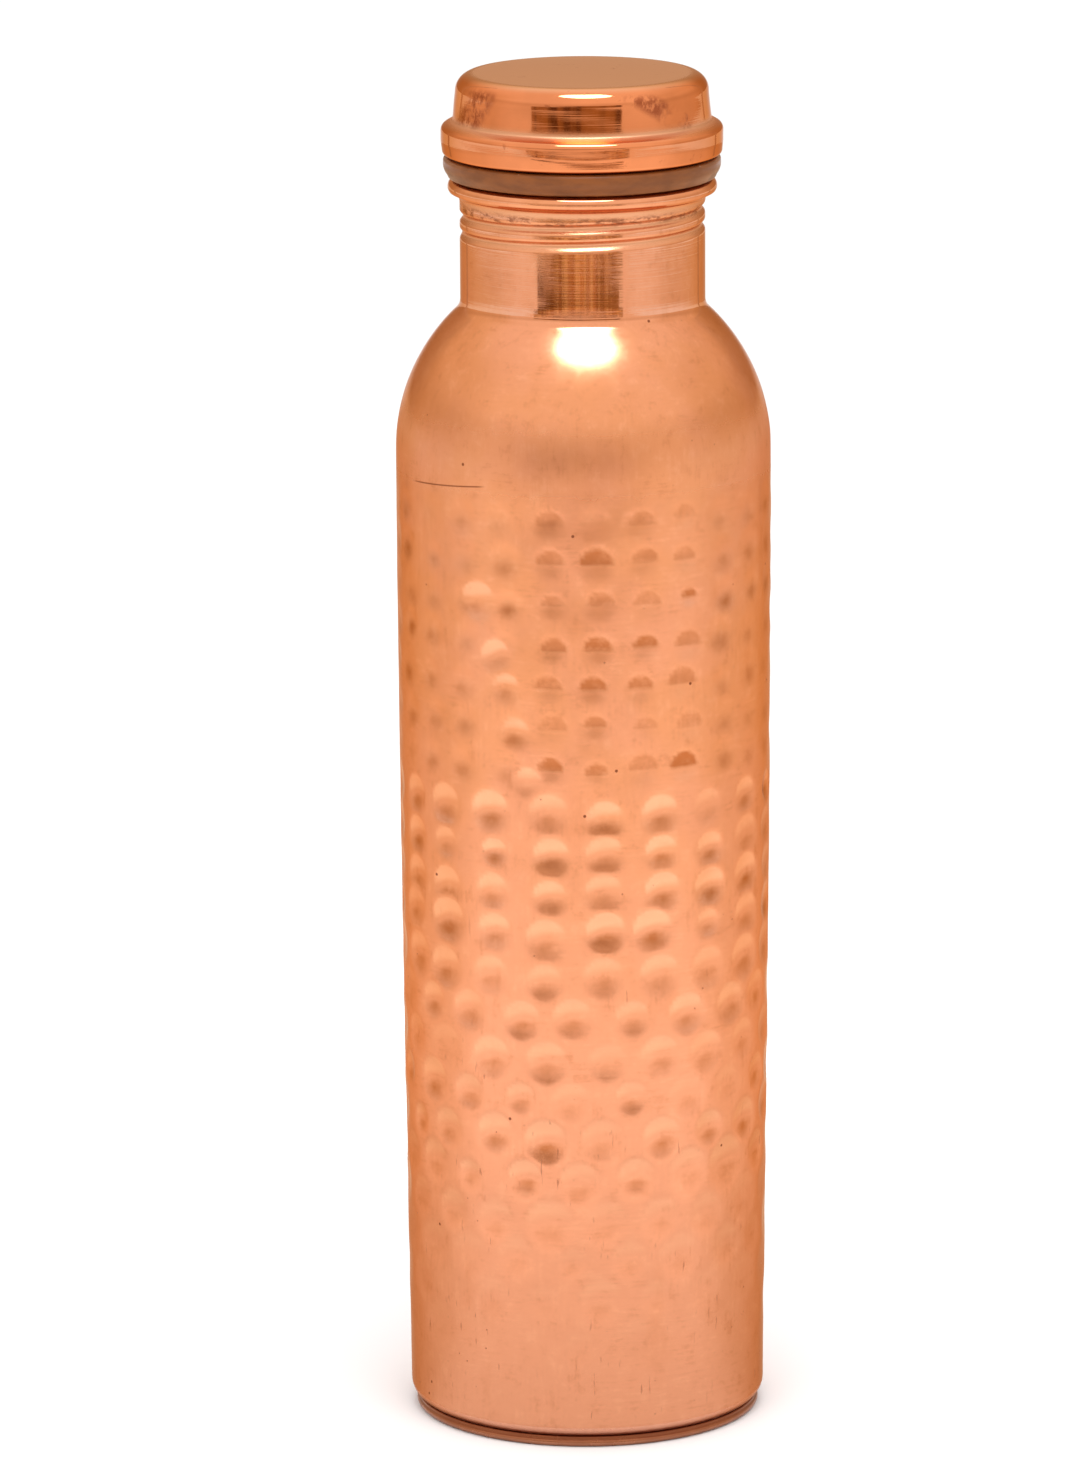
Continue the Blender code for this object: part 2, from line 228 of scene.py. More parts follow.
def turned(name, profile, segments, shape=None, **layers):
    """A smooth closed surface of revolution. The profile runs down the outer side.

    A profile that starts and ends on the axis is closed by a point there, and any other is a closed
    outline. A point that repeats the one before it is dropped, so no face is empty. shape takes the angles,
    radii and heights of all points and gives the new radii. Each layer takes the same and gives one value
    for each point, which the finish reads as an attribute.
    """
    profile = profile[:1] + [point for before, point in zip(profile, profile[1:])
                             if dist(before, point) > TOUCH]
    on_axis = profile[0][0] < TOUCH
    ring_points = profile[1:-1] if on_axis else profile
    radius = np.array([p[0] for p in ring_points])[:, None]
    height = np.array([p[1] for p in ring_points])[:, None]
    theta = (2 * pi * np.arange(segments) / segments)[None, :]
    grid_r = np.broadcast_to(radius, (len(ring_points), segments)).copy()
    grid_z = np.broadcast_to(height, grid_r.shape)
    painted = {layer: np.clip(worth(theta, grid_r, grid_z), -1, 1) for layer, worth in layers.items()}
    if shape:
        grid_r = shape(theta, grid_r, grid_z)
    verts = np.stack([grid_r * np.cos(theta), grid_r * np.sin(theta), grid_z], -1).reshape(-1, 3)
    rows = len(ring_points)
    here = np.arange(rows * segments).reshape(rows, segments)
    beside = np.roll(here, -1, axis=1)
    last = rows - 1 if on_axis else rows
    below = np.roll(here, -1, axis=0)
    below_beside = np.roll(beside, -1, axis=0)
    quads = np.stack([here, below, below_beside, beside], -1)[:last].reshape(-1, 4)
    faces = quads.tolist()
    verts = verts.tolist()
    if on_axis:
        top = len(verts)
        verts += [(0, 0, profile[0][1]), (0, 0, profile[-1][1])]
        faces += [(top, int(a), int(b)) for a, b in zip(here[0], beside[0])]
        faces += [(top + 1, int(b), int(a)) for a, b in zip(here[-1], beside[-1])]
    mesh = bpy.data.meshes.new(name)
    mesh.from_pydata(verts, [], faces)
    mesh.shade_smooth()
    for layer, values in painted.items():
        attribute = mesh.attributes.new(layer, "FLOAT", "POINT")
        attribute.data.foreach_set("value", np.append(values.ravel(), (0, 0))[:len(verts)])
    mesh.update()
    piece = bpy.data.objects.new(name, mesh)
    bpy.context.scene.collection.objects.link(piece)
    return piece


def thread_depth(theta, height, sizes, half_width):
    """Depth of the helical groove, 0 to 1, at each angle and height, with its run-outs."""
    depth = np.zeros(np.broadcast_shapes(theta.shape, height.shape))
    for lap in range(-2, 4):
        angle = theta + 2 * pi * lap
        inside = np.clip((angle - sizes.start) / sizes.fade, 0, 1)
        inside = inside * np.clip((sizes.end - angle) / sizes.fade, 0, 1)
        centre = sizes.height + sizes.pitch * (angle - pi) / (2 * pi)
        reach = np.clip(1 - np.abs(height - centre) / half_width, 0, 1)
        depth = np.maximum(depth, inside * np.sin(reach * pi / 2) ** 1.6)
    return depth


# ---------------------------------------------------------------- body shell

def barrel_radius(height, sizes):
    """The barrel swells gently from the foot to its full radius under the shoulder."""
    full = sizes.barrel_radius + sizes.taper * ((sizes.taper_top - sizes.shoulder_height)
                                                / sizes.taper_top) ** 2
    return full - sizes.taper * ((sizes.taper_top - height) / sizes.taper_top) ** 2


def shell_side(sizes, depth, fine):
    """One side of the sheet, at a depth under its outer surface, from the neck down to the edge."""
    shoulder = (barrel_radius(sizes.shoulder_height, sizes) - sizes.shoulder_radius, sizes.shoulder_height)
    reach = sizes.shoulder_radius + sizes.neck_hollow
    hollow_r = sizes.neck_radius + sizes.neck_hollow
    rise = sqrt(reach ** 2 - (hollow_r - shoulder[0]) ** 2)
    lean = degrees(asin(rise / reach))
    hollow = (hollow_r, sizes.shoulder_height + rise)
    points = arc(hollow, sizes.neck_hollow + depth, 180, 180 + lean, 6 if fine else 4)
    points += arc(shoulder, sizes.shoulder_radius - depth, lean, 0, 24 if fine else 8)[1:]
    corner_z = SHELL_LOW.z + sizes.edge_radius
    calm_z = 55 * MM
    beaten_rows, calm_rows = (186, 34) if fine else (7, 3)
    for top, foot, rows in ((sizes.shoulder_height, calm_z, beaten_rows), (calm_z, corner_z, calm_rows)):
        for i in range(1, rows + 1):
            z = top + (foot - top) * i / rows
            points.append((barrel_radius(z, sizes) - depth, z))
    corner = (barrel_radius(corner_z, sizes) - sizes.edge_radius, corner_z)
    points += arc(corner, sizes.edge_radius - depth, 0, -90, 7 if fine else 3)[1:]
    return points


def shell_profile(sizes, thread):
    roll = (sizes.lip_radius - sizes.lip_roll, SHELL_HIGH.z - sizes.lip_roll)
    bore_r = sizes.neck_radius - sizes.sheet
    break_edge = 0.35 * MM
    foot = (sizes.neck_radius, SHELL_HIGH.z - sizes.lip_height)
    thread_foot = (sizes.neck_radius, thread.height - 2.2 * MM)
    outer = arc((bore_r + break_edge, SHELL_HIGH.z - break_edge), break_edge, 180, 90, 3)
    outer += arc(roll, sizes.lip_roll, 90, -34, 12)
    hollow = 2.2 * MM
    outer += arc((foot[0] + hollow, foot[1] - 0.1 * MM), hollow, 140, 180, 5)
    outer += straight(outer[-1], thread_foot, 36)
    side = shell_side(sizes, 0, True)
    outer += straight(thread_foot, side[0], 5)[:-1]
    inner = list(reversed(shell_side(sizes, sizes.sheet, False)))
    inner_thread_foot = (bore_r, thread_foot[1])
    inner_foot = (bore_r, foot[1])
    inner += straight(inner[-1], inner_thread_foot, 2)
    inner += straight(inner_thread_foot, inner_foot, 16)
    return outer + side + inner


SHELL_SEGMENTS = 270                # the shell then has just under 200,000 triangles
MOONS_FROM, MOONS_TO = 255, 308     # degrees: the front, where blows were struck with the hammer's edge and get painted half-moon shade
REACH = 1.3                         # how far a blow is worked out, in its own radii

# The barrel is beaten in bands. top and pitch are in mm and start and drift in degrees: the height of the
# first row, the step down to the next, the angle of one column and how far it moves in a row. Force and size
# scale a blow and lean tips it upwards. A moon is a blow struck with the hammer's edge, with painted shade
# above a sharp foot. The last two, gleam and shade, are the painted highlight and painted shade laid into
# the copper's colour over a blow's mark, on top of the light and shade that the dent itself gives.
Band = namedtuple("Band", "top pitch rows columns start drift stagger force size lean moon gleam shade")
BANDS = (
    Band(191.8, 8.05, 8, 25, 272.4, 0.3, 0.0, 0.34, 0.84, 0.80, True, 0.16, 0.66),
    Band(167.0, 8.40, 5, 1, 240.0, 2.4, 0.0, 0.60, 1.08, 0.20, False, 1.00, 0.35),
    Band(126.6, 7.70, 4, 20, 275.2, 0.6, 0.0, 0.95, 1.14, 0.15, False, 0.95, 0.74),
    Band(94.6, 8.10, 10, 20, 275.8, 0.0, 0.5, 0.95, 1.26, 0.10, False, 0.80, 0.66),
)


def blows(marks, shell):
    """The hammer marks: band, angle, height, radius, depth, lean, strength and whether struck edge on."""
    hand = np.random.default_rng(marks.seed)
    placed = []
    for band in BANDS:
        for row in range(band.rows):
            height = (band.top - band.pitch * row) * MM
            step = 2 * pi / band.columns
            whole_row = hand.normal(0, 1.1) * marks.unevenness / shell.barrel_radius
            rising = min(1, 0.35 + 0.3 * row) if band.moon else 1
            fading = min(1, max(0.3, (height - 8 * MM) / (52 * MM)))
            for column in range(band.columns):
                across, up, wide, hard, tip = hand.normal(0, 1, 5)
                angle = radians(band.start + band.drift * row) + step * (column + band.stagger * (row % 2))
                angle += whole_row + 0.8 * marks.unevenness * across / shell.barrel_radius
                strength = rising * fading * min(1.5, max(0.5, 1 + 0.22 * hard))
                edge_on = band.moon and radians(MOONS_FROM) < angle % (2 * pi) < radians(MOONS_TO)
                wider = 1.22 if band.moon and not edge_on else 1
                placed.append((band, angle % (2 * pi), height + 0.8 * marks.unevenness * up,
                               marks.radius * band.size * wider * max(0.7, 1 + 0.11 * wide),
                               marks.depth * band.force * strength,
                               min(0.95, max(-0.3, band.lean + 0.16 * tip)), strength, edge_on))
    return placed


def struck(theta, height, marks, shell):
    """For each blow: itself, the patch of the grid it reaches, and its own coordinates across and up."""
    column_z = height[:, :1]
    for blow in blows(marks, shell):
        _, angle, z, radius, *_ = blow
        rows = np.nonzero(np.abs(column_z[:, 0] - z) < REACH * radius)[0]
        across = ((theta[0] - angle + pi) % (2 * pi) - pi) * shell.barrel_radius / radius
        near = np.nonzero(np.abs(across) < REACH)[0]
        yield blow, np.ix_(rows, near), across[near][None, :], (column_z[rows] - z) / radius


def hammered(theta, height, marks, shell):
    """How far the blows push the wall in, at each angle and height of the grid."""
    dent = np.zeros(height.shape)
    soft = 0.020 * MM                                       # how far a mark's rim is rounded
    for (_, _, _, _, depth, lean, _, _), patch, u, v in struck(theta, height, marks, shell):
        bowl = depth * (1 - u * u - v * v)
        bowl = 0.5 * (bowl + np.sqrt(bowl * bowl + soft * soft)) - 0.12 * soft
        bowl = np.clip(bowl, 0, None) * (1 + lean * v)
        dent[patch] = np.maximum(dent[patch], bowl) + 0.25 * np.minimum(dent[patch], bowl)
    return dent


def painted_blow_shading(theta, height, marks, shell):
    """Painted light of the blows: painted highlight over part of each mark, up to 1, and painted shade, down
    to -1.
    """
    tone = np.zeros(height.shape)
    for (band, _, _, _, _, _, strength, edge_on), patch, u, v in struck(theta, height, marks, shell):
        out = np.sqrt(u * u + v * v)
        inside = np.clip((1.04 - out) / 0.22, 0, 1)         # 1 over the mark, softer at its rim
        # A moon gets painted shade over its upper part and painted highlight below it; any other mark gets
        # painted highlight over its top and painted shade in its lower middle.
        if edge_on:
            dull = inside * np.clip((v + 0.14) / 0.22, 0, 1)
            bright = inside * np.clip(-v / 0.5, 0, 1)
        else:
            dull = 0.85 * np.exp(-(u / 0.68) ** 2 - ((v + 0.26) / 0.60) ** 2)
            bright = inside * np.clip((v - 0.22 * u + 0.22) / 0.70, 0, 1)
        tone[patch] += strength * (band.gleam * bright - band.shade * dull)
    return tone


def out_of_true(theta, height, marks):
    """Slow swells left in the wall by the beating."""
    hand = np.random.default_rng(marks.seed + 1)
    swell = np.zeros(height.shape)
    for _ in range(40):
        around = int(hand.integers(2, 24))
        along = hand.uniform(30, 520)
        phase_a, phase_b = hand.uniform(0, 2 * pi, 2)
        swell += np.cos(around * theta + phase_a) * np.cos(along * height + phase_b) / (1 + 0.25 * around)
    return swell / np.abs(swell).max()


def shape_shell(scene):
    shell, marks, thread = scene.bottle_shell, scene.bottle_hammer, scene.bottle_thread

    def shape(theta, radius, height):
        outer = np.zeros(height.shape[0], bool)
        bore_row = int(np.argmax(height[:, 0] <= SHELL_LOW.z + 1e-7))
        outer[:bore_row + 1] = True
        outer = outer[:, None]
        beaten = np.clip((marks.top + 12 * MM - height) / (10 * MM), 0, 1)
        beaten = beaten * np.clip((height - SHELL_LOW.z) / (7 * MM), 0, 1)
        dent = hammered(theta, height, marks, shell) * beaten
        swell = (1 + out_of_true(theta, height, marks)) * marks.waver * beaten
        in_neck = (height > thread.height - 4 * MM) & (height < SHELL_HIGH.z - 2.6 * MM)
        groove = thread_depth(theta, height, thread, thread.half_width) * thread.depth * in_neck
        rib = thread_depth(theta, height, thread, thread.half_width * 0.85) * thread.depth * in_neck
        return np.where(outer, radius - dent - swell - groove, radius - dent - swell - rib)

    return shape


def shell_hollows(scene):
    """The thread's groove and the corner under the lip, where paler copper is painted to soften their red
    double reflection.
    """
    shell, thread = scene.bottle_shell, scene.bottle_thread
    foot = SHELL_HIGH.z - shell.lip_height

    def hollow(theta, radius, height):
        groove = thread_depth(theta, height, thread, thread.half_width) ** 0.5
        groove = groove * (height > thread.height - 4 * MM) * (height < SHELL_HIGH.z - 2.6 * MM)
        corner = 1 - np.abs(height - foot - 0.5 * MM) / (1.1 * MM)
        return np.maximum(groove * 0.8, corner)

    return hollow


class BOTTLE_OT_body_shell(Operator):
    """Build the hammered shell with its rolled thread and lip"""
    bl_idname = "bottle.body_shell"
    bl_label = "Body Shell"

    def execute(self, context):
        scene = context.scene
        profile = shell_profile(scene.bottle_shell, scene.bottle_thread)

        # The painted highlights and painted shade of the blows, kept as the layer named tone.
        def tone(theta, radius, height):
            return painted_blow_shading(theta, height, scene.bottle_hammer, scene.bottle_shell)

        piece = turned("hammered_shell", profile, SHELL_SEGMENTS, shape_shell(scene),
                       hollow=shell_hollows(scene), tone=tone)
        piece.data.materials.append(hammered_copper(scene))
        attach(piece, "bottle")
        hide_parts("body_shell")
        return {"FINISHED"}


# ---------------------------------------------------------------- base plate

def base_profile(scene):
    shell = scene.bottle_shell
    hole_r = barrel_radius(SHELL_LOW.z + shell.edge_radius, shell) - shell.edge_radius
    wall_r = hole_r - 0.3 * MM
    rim_r = BASE_HIGH.x
    rim_top = SHELL_LOW.z - 0.08 * MM
    floor = BASE_HIGH.z
    recess = floor - 0.9 * MM
    ring_in = 30.4 * MM
    profile = [(0, floor)] + straight((0, floor), (wall_r - 0.8 * MM, floor), 12)
    profile += arc((wall_r - 0.8 * MM, floor - 0.8 * MM), 0.8 * MM, 90, 0, 4)
    profile += straight((wall_r, floor - 0.8 * MM), (wall_r, rim_top), 2)
    # Solder fills the seam under the shell's rounded corner.
    corner = (hole_r, SHELL_LOW.z + shell.edge_radius)
    profile += arc(corner, shell.edge_radius + 0.10 * MM, -89, -58, 8)
    profile += [(rim_r - 0.25 * MM, rim_top + 0.22 * MM)]
    profile += arc((rim_r - rim_top / 2, rim_top / 2), rim_top / 2, 60, -90, 12)
    profile += straight((rim_r - rim_top / 2, 0), (ring_in, 0), 4)
    profile += arc((ring_in, 0.7 * MM), 0.7 * MM, -90, -160, 4)
    profile += straight(profile[-1], (ring_in - 1.3 * MM, recess - 0.5 * MM), 3)
    profile += arc((ring_in - 1.8 * MM, recess - 0.5 * MM), 0.5 * MM, 0, 90, 3)
    profile += straight((ring_in - 1.8 * MM, recess), (0.010, recess), 14)
    profile += straight((0.010, recess), (0.0096, recess + 0.15 * MM), 2)
    profile += straight((0.0096, recess + 0.15 * MM), (0, recess + 0.15 * MM), 6)
    return profile


class BOTTLE_OT_base_plate(Operator):
    """Build the pressed base plate"""
    bl_idname = "bottle.base_plate"
    bl_label = "Base Plate"

    def execute(self, context):
        piece = turned("pressed_base", base_profile(context.scene), 192)
        piece.data.materials.append(plain_copper(context.scene))
        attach(piece, "bottle")
        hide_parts("base_plate")
        return {"FINISHED"}


# ---------------------------------------------------------------- gasket

def gasket_profile(scene):
    bore_r = scene.bottle_shell.neck_radius - scene.bottle_shell.sheet
    top, foot, wide = GASKET_HIGH.z, GASKET_LOW.z, GASKET_HIGH.x
    profile = straight((bore_r, foot + 0.3 * MM), (bore_r, top - 0.3 * MM), 6)
    profile += arc((bore_r + 0.3 * MM, top - 0.3 * MM), 0.3 * MM, 180, 90, 3)
    profile += straight((bore_r + 0.3 * MM, top), (wide - 0.9 * MM, top), 5)
    profile += arc((wide - 0.9 * MM, top - 0.9 * MM), 0.9 * MM, 90, 10, 6)
    profile += arc((wide - 3.0 * MM, top - 1.4 * MM), 3.0 * MM, 5, -40, 8)
    profile += arc((wide - 1.4 * MM, foot + 0.5 * MM), 0.5 * MM, -20, -90, 5)
    profile += straight((wide - 1.4 * MM, foot), (bore_r + 0.3 * MM, foot), 5)
    profile += arc((bore_r + 0.3 * MM, foot + 0.3 * MM), 0.3 * MM, -90, -180, 3)
    return profile[:-1]


class BOTTLE_OT_gasket(Operator):
    """Build the silicone ring between cap and lip"""
    bl_idname = "bottle.gasket"
    bl_label = "Gasket"

    def execute(self, context):
        def squeezed(theta, radius, height):
            bulge = 0.07 * MM * (np.sin(3 * theta + 0.7) + 0.5 * np.sin(7 * theta))
            outside = np.clip((radius - GASKET_HIGH.x + 2 * MM) / (1.5 * MM), 0, 1)
            return radius - outside * (0.11 * MM + bulge)

        piece = turned("silicone_ring", gasket_profile(context.scene), 192, squeezed)
        piece.data.materials.append(silicone(context.scene))
        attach(piece, "seal")
        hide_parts("gasket")
        return {"FINISHED"}


# ---------------------------------------------------------------- cap

def cap_profile(cap):
    top = CAP_HIGH.z
    corner = (cap.top_radius - cap.corner, top - cap.crown - cap.corner)
    bead_round = 1.2 * MM
    bead = (cap.bead_radius - bead_round, cap.bead_height)
    skirt_round = 0.9 * MM
    skirt = (cap.skirt_radius - skirt_round, CAP_LOW.z + skirt_round)
    hollow = (cap.side_radius + 0.55 * MM, cap.step_height + 0.45 * MM)
    crown = [(corner[0] * i / 14, top - cap.crown * (i / 14) ** 2) for i in range(15)]
    profile = crown + arc(corner, cap.corner, 90, 0, 14)[1:]
    wall_foot = (cap.side_radius, hollow[1])
    profile += straight((cap.top_radius, corner[1]), wall_foot, 8)
    profile += arc(hollow, 0.55 * MM, 180, 245, 5)[1:]
    profile += arc(bead, bead_round, 66, 0, 9)
    profile += straight((cap.bead_radius, cap.bead_height), (cap.bead_radius, cap.bead_height - 2 * MM), 4)
    profile += straight((cap.bead_radius, cap.bead_height - 2 * MM), (cap.skirt_radius, skirt[1]), 3)
    profile += arc(skirt, skirt_round, 0, -90, 7)[1:]
    profile += straight((skirt[0], CAP_LOW.z), (cap.curl_radius, CAP_LOW.z), 2)
    inner_z = CAP_LOW.z + cap.sheet
    profile += straight((cap.curl_radius, CAP_LOW.z), (cap.curl_radius, inner_z), 1)
    profile += straight((cap.curl_radius, inner_z), (skirt[0], inner_z), 1)
    profile += arc(skirt, skirt_round - cap.sheet, -90, 0, 2)[1:]
    profile += [(cap.bead_radius - cap.sheet, cap.bead_height - 2 * MM)]
    profile += arc(bead, bead_round - cap.sheet, 0, 66, 3)
    profile += [(cap.side_radius - cap.sheet + 0.4 * MM, cap.step_height - 0.3 * MM)]
    profile += [(cap.side_radius - cap.sheet, cap.step_height + 0.4 * MM)]
    profile += arc(corner, cap.corner - cap.sheet, 0, 90, 6)
    profile += [(r, z - cap.sheet) for r, z in reversed(crown[:-1:3])]
    return profile


class BOTTLE_OT_cap_shell(Operator):
    """Build the spun outer shell of the cap"""
    bl_idname = "bottle.cap_shell"
    bl_label = "Cap Shell"

    def execute(self, context):
        cap = context.scene.bottle_cap

        def spun(theta, radius, height):
            """Slight unevenness of a hand-spun wall."""
            wobble = (0.6 * np.sin(5 * theta + 900 * height) + 0.4 * np.sin(9 * theta + 1.3)
                      + 0.5 * np.sin(2 * theta + 0.4))
            side = np.clip((radius - 0.8 * cap.top_radius) / (3 * MM), 0, 1)
            return radius - side * 0.035 * MM * (1.5 + wobble)

        def step(theta, radius, height):
            """The corner between side wall and bead, where paler copper is painted to soften its red double
            reflection.
            """
            return np.maximum(0, 1.3 - np.abs(height - cap.step_height - 0.1 * MM) / (0.9 * MM))

        piece = turned("spun_cap", cap_profile(cap), 256, spun, hollow=step)
        piece.data.materials.append(cap_copper(context.scene))
        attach(piece, "cap")
        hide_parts("cap_shell")
        return {"FINISHED"}


def plug_profile(scene):
    """The threaded cup: its floor, wall, and the flange that steps up over the skirt's turned-in edge."""
    cap = scene.bottle_cap
    shell = scene.bottle_shell
    plug_r = shell.neck_radius - shell.sheet - 0.35 * MM
    wall = 1.5 * MM
    flange = 0.8 * MM
    inner_r = plug_r - wall
    corner = (plug_r - 2.2 * MM, PLUG_LOW.z + 2.2 * MM)
    low = CAP_LOW.z
    high = CAP_LOW.z + cap.sheet + 0.3 * MM
    step_r = cap.curl_radius - 0.4 * MM
    rim_r = PLUG_HIGH.x
    rim_top = PLUG_HIGH.z
    profile = [(0, PLUG_LOW.z + wall)] + straight((0, PLUG_LOW.z + wall), (corner[0], PLUG_LOW.z + wall), 5)
    profile += arc(corner, 2.2 * MM - wall, -90, 0, 4)[1:]
    profile += straight((inner_r, corner[1]), (inner_r, low + flange), 6)
    profile += straight((inner_r, low + flange), (step_r - flange, low + flange), 2)
    profile += [(step_r - flange + 0.3 * MM, high + flange), (rim_r - flange, high + flange)]
    profile += [(rim_r - flange, rim_top), (rim_r, rim_top), (rim_r, high + 0.3 * MM)]
    profile += [(rim_r - 0.3 * MM, high), (step_r, high), (step_r - 0.3 * MM, low)]
    profile += straight((step_r - 0.3 * MM, low), (plug_r, low), 2)
    profile += straight((plug_r, low), (plug_r, corner[1]), 70)
    profile += arc(corner, 2.2 * MM, 0, -90, 10)[1:]
    profile += straight((corner[0], PLUG_LOW.z), (0.012, PLUG_LOW.z), 3)
    profile += straight((0.012, PLUG_LOW.z), (0.0115, PLUG_LOW.z + 0.4 * MM), 2)
    profile += straight((0.0115, PLUG_LOW.z + 0.4 * MM), (0, PLUG_LOW.z + 0.4 * MM), 4)
    return profile


class BOTTLE_OT_cap_plug(Operator):
    """Build the threaded plug inside the cap"""
    bl_idname = "bottle.cap_plug"
    bl_label = "Cap Plug"

    def execute(self, context):
        scene = context.scene
        thread = scene.bottle_thread
        plug_r = scene.bottle_shell.neck_radius - scene.bottle_shell.sheet - 0.35 * MM

        def cut(theta, radius, height):
            wall = (radius > plug_r - 1.2 * MM) & (height < CAP_LOW.z - 1 * MM)
            depth = np.zeros(radius.shape)
            for lap in range(-3, 4):
                angle = theta + 2 * pi * lap
                inside = np.clip((thread.end + 1.0 - angle) / thread.fade, 0, 1)
                centre = thread.height + thread.pitch * (angle - pi) / (2 * pi)
                reach = np.clip(1 - np.abs(height - centre) / (1.3 * MM), 0, 1)
                depth = np.maximum(depth, inside * np.sin(reach * pi / 2) ** 1.2)
            return radius - wall * depth * 0.75 * MM

        piece = turned("threaded_plug", plug_profile(scene), 192, cut)
        piece.data.materials.append(plain_copper(scene))
        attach(piece, "cap")
        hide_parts("cap_plug")
        return {"FINISHED"}


# ---------------------------------------------------------------- finishes

class Nodes:
    """Short ways to add shader nodes to one tree."""

    def __init__(self, tree):
        self.tree = tree

    def add(self, kind, **settings):
        node = self.tree.nodes.new(kind)
        for key, value in settings.items():
            setattr(node, key, value)
        return node

    def fill(self, socket, given):
        """Links a socket to an output, or sets its number or colour."""
        if isinstance(given, bpy.types.NodeSocket):
            self.tree.links.new(given, socket)
        elif isinstance(given, tuple) and len(given) < len(socket.default_value):
            socket.default_value = (*given, 1)
        else:
            socket.default_value = given

    def maths(self, operation, *given):
        node = self.add("ShaderNodeMath", operation=operation)
        for socket, item in zip(node.inputs, given):
            self.fill(socket, item)
        return node.outputs[0]

    def times(self, *given):
        return reduce(lambda first, second: self.maths("MULTIPLY", first, second), given)

    def plus(self, *given):
        return reduce(lambda first, second: self.maths("ADD", first, second), given)

    def most(self, *given):
        return reduce(lambda first, second: self.maths("MAXIMUM", first, second), given)

    def split(self, vector):
        node = self.add("ShaderNodeSeparateXYZ")
        self.fill(node.inputs[0], vector)
        return tuple(node.outputs)

    def noise(self, vector, scale, detail, roughness):
        node = self.add("ShaderNodeTexNoise")
        for name, given in (("Vector", vector), ("Scale", scale), ("Detail", detail),
                            ("Roughness", roughness)):
            self.fill(node.inputs[name], given)
        return node.outputs["Fac"]

    def between(self, value, low, high, to_low=0.0, to_high=1.0):
        """Smoothly maps a value from one range to another, and holds it there."""
        node = self.add("ShaderNodeMapRange", interpolation_type="SMOOTHSTEP", clamp=True)
        for name, given in (("Value", value), ("From Min", low), ("From Max", high),
                            ("To Min", to_low), ("To Max", to_high)):
            self.fill(node.inputs[name], given)
        return node.outputs["Result"]

    def within(self, value, rise, fall):
        """1 between two soft edges, each given as where it is 0 and where it is 1."""
        return self.times(self.between(value, *rise), self.between(value, *fall))

    def mix(self, share, first, second, blend="MIX"):
        node = self.add("ShaderNodeMix", data_type="RGBA", blend_type=blend)
        self.fill(node.inputs["Factor"], share)
        self.fill(node.inputs[6], first)
        self.fill(node.inputs[7], second)
        return node.outputs[2]


class Finish(Nodes):
    """A node-based finish for one material, laid out in the piece's own coordinates."""

    def __init__(self, name):
        self.material = bpy.data.materials.new(name)
        self.material.use_nodes = True
        super().__init__(self.material.node_tree)
        self.shader = self.tree.nodes["Principled BSDF"]
        self.place = self.add("ShaderNodeTexCoord").outputs["Object"]

    def give(self, name, given):
        """Sets or links one of the shader's own sockets."""
        self.fill(self.shader.inputs[name], given)

    def shine(self, colour, strength=1.0):
        """Makes the surface give its own light and nothing else."""
        self.give("Base Color", (0, 0, 0))
        self.give("Specular IOR Level", 0)
        self.give("Emission Color", colour)
        self.give("Emission Strength", strength)

    def stretch(self, scale, offset=(0, 0, 0)):
        """The piece's own coordinates, scaled along each axis."""
        node = self.add("ShaderNodeMapping")
        for name, given in (("Vector", self.place), ("Scale", scale), ("Location", offset)):
            self.fill(node.inputs[name], given)
        return node.outputs[0]

    def off_axis(self, x, y):
        """Distance from the bottle's axis."""
        return self.maths("SQRT", self.plus(self.times(x, x), self.times(y, y)))

    def ramp(self, value, stops):
        """Colours along a value from 0 to 1."""
        node = self.add("ShaderNodeValToRGB")
        self.fill(node.inputs[0], value)
        elements = node.color_ramp.elements
        while len(elements) < len(stops):
            elements.new(0.5)
        for element, (position, tint) in zip(elements, stops):
            element.position = position
            element.color = (*tint, 1)
        return node.outputs[0]

    def layer(self, name):
        """One value for each point, made with the shape."""
        return self.add("ShaderNodeAttribute", attribute_name=name).outputs["Fac"]

    def relief(self, height, distance, strength=1.0):
        """Gives the surface a fine relief that is too small to model."""
        node = self.add("ShaderNodeBump")
        for name, given in (("Height", height), ("Distance", distance), ("Strength", strength)):
            self.fill(node.inputs[name], given)
        self.give("Normal", node.outputs["Normal"])

    def specks(self, scale, size, keep):
        """Small sparse dots: 1 inside a dot."""
        cells = self.add("ShaderNodeTexVoronoi", feature="F1")
        self.fill(cells.inputs["Vector"], self.place)
        self.fill(cells.inputs["Scale"], scale)
        dot = self.between(cells.outputs["Distance"], size, size * 0.5)
        chance = self.split(cells.outputs["Color"])[0]
        return self.times(dot, self.maths("GREATER_THAN", chance, 1 - keep))


def tones(base, lift):
    """A lighter and a darker tone of one colour."""
    return tuple(min(1, c * (1 + lift)) for c in base), tuple(c * (1 - lift) for c in base)


def shifted(base, *shares):
    """A colour with each of its channels scaled."""
    return tuple(channel * share for channel, share in zip(base, shares))


def polished_metal(name, finish):
    made = Finish(name)
    made.give("Metallic", 1)
    made.give("Specular Tint", tuple(finish.edge))
    return made


